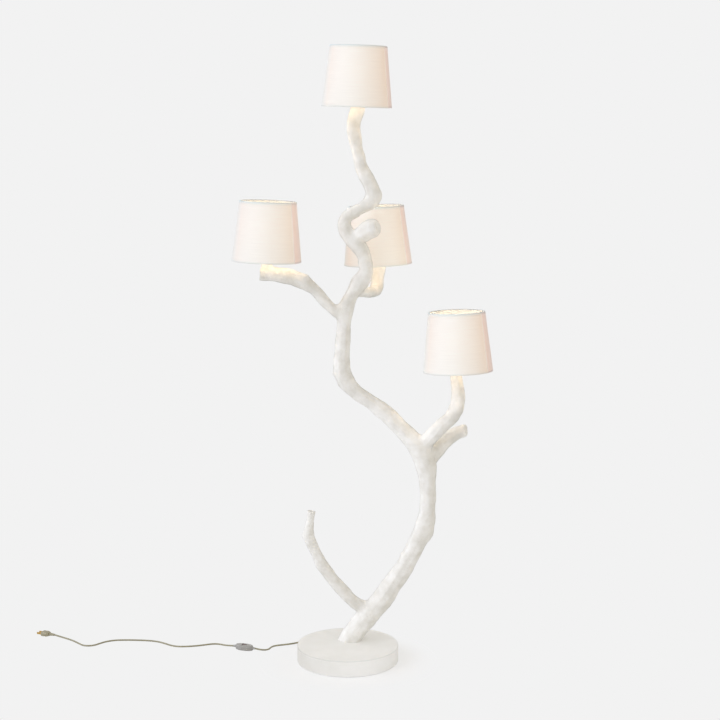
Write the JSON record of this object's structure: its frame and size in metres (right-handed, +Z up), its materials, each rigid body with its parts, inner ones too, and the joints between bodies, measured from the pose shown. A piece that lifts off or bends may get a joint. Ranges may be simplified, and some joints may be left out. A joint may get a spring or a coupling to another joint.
{
  "type": "tree floor lamp",
  "caption": "White cast tree trunk on a round base, with branches that each carry a tapered fabric shade over a bulb, and a cord with a rocker switch and plug.",
  "frame": {"origin": "middle of the round base's underside, on the floor", "axes": "+Z up, -Y towards the front that the lamp is seen from, +X to the right"},
  "size_m": [1.4114, 0.3889, 1.8315],
  "materials": {
    "tree": "cast resin with a sealed plaster finish",
    "shade_fabric": "plain weave laminated on a translucent liner",
    "shade_wire": "white powder coat",
    "shade_nut": "moulded",
    "lamp_holder": "moulded",
    "bulb_glass": "opal inside",
    "bulb_cap": "rolled",
    "contacts": "pressed",
    "steel_parts": "zinc plated",
    "base": "cast stone, rubbed smooth",
    "base_weight": "as cast",
    "base_pad": "felt",
    "connector": "moulded",
    "wire_cover": "extruded",
    "cord_cover": "extruded",
    "gland": "moulded",
    "switch_case": "moulded, slightly translucent",
    "switch_rocker": "moulded",
    "plug": "moulded"
  },
  "bodies": {
    "stand": {"arm_conduits": "steel_parts", "base_disc": "base", "base_pad": "base_pad", "base_weight": "base_weight", "branch_dowels": "steel_parts", "cord_coil": "cord_cover", "cord_gland": "gland", "cord_lead": "cord_cover", "cord_to_plug": "cord_cover", "cord_to_switch": "cord_cover", "foot_plate": "steel_parts", "foot_screws": "steel_parts", "holder_contacts": "contacts", "holder_nipples": "steel_parts", "knob": "tree", "left_arm": "tree", "left_bulb_cap": "bulb_cap", "left_bulb_glass": "bulb_glass", "left_lamp_holder": "lamp_holder", "left_shade_nut": "shade_nut", "plug_blades": "contacts", "plug_body": "plug", "rear_arm": "tree", "rear_bulb_cap": "bulb_cap", "rear_bulb_glass": "bulb_glass", "rear_lamp_holder": "lamp_holder", "rear_shade_nut": "shade_nut", "right_arm": "tree", "right_bulb_cap": "bulb_cap", "right_bulb_glass": "bulb_glass", "right_lamp_holder": "lamp_holder", "right_shade_nut": "shade_nut", "right_stub": "tree", "stem_conduit": "steel_parts", "stem_upper": "tree", "switch_lower": "switch_case", "switch_screws": "steel_parts", "switch_upper": "switch_case", "top_bulb_cap": "bulb_cap", "top_bulb_glass": "bulb_glass", "top_lamp_holder": "lamp_holder", "top_shade_nut": "shade_nut", "trunk_lower": "tree", "trunk_middle": "tree", "twig": "tree", "wire_connector": "connector", "wiring": "wire_cover"},
    "top_shade_body": {"top_shade": "shade_fabric", "top_shade_frame": "shade_wire", "top_shade_top_ring": "shade_wire"},
    "left_shade_body": {"left_shade": "shade_fabric", "left_shade_frame": "shade_wire", "left_shade_top_ring": "shade_wire"},
    "rear_shade_body": {"rear_shade": "shade_fabric", "rear_shade_frame": "shade_wire", "rear_shade_top_ring": "shade_wire"},
    "right_shade_body": {"right_shade": "shade_fabric", "right_shade_frame": "shade_wire", "right_shade_top_ring": "shade_wire"},
    "rocker_body": {"switch_rocker": "switch_rocker"}
  },
  "joints": [
    {"name": "top_shade_swivel", "type": "hinge", "parent": "stand", "child": "top_shade_body", "pos_m": [0.0275, 0.03, 1.666], "axis": [0.0314, 0, 0.9995], "continuous": true},
    {"name": "left_shade_swivel", "type": "hinge", "parent": "stand", "child": "left_shade_body", "pos_m": [-0.2343, -0.005, 1.2235], "axis": [0.0349, 0.014, 0.9993], "continuous": true},
    {"name": "rear_shade_swivel", "type": "hinge", "parent": "stand", "child": "rear_shade_body", "pos_m": [0.0907, 0.135, 1.2014], "axis": [-0.0384, 0.0087, 0.9992], "continuous": true},
    {"name": "right_shade_swivel", "type": "hinge", "parent": "stand", "child": "right_shade_body", "pos_m": [0.3224, -0.0445, 0.906], "axis": [-0.0314, 0.0436, 0.9986], "continuous": true},
    {"name": "switch_rocker", "type": "hinge", "parent": "stand", "child": "rocker_body", "pos_m": [-0.32, 0.089, 0.0125], "axis": [-0.342, -0.9397, 0], "range_deg": [0, 14]}
  ]
}
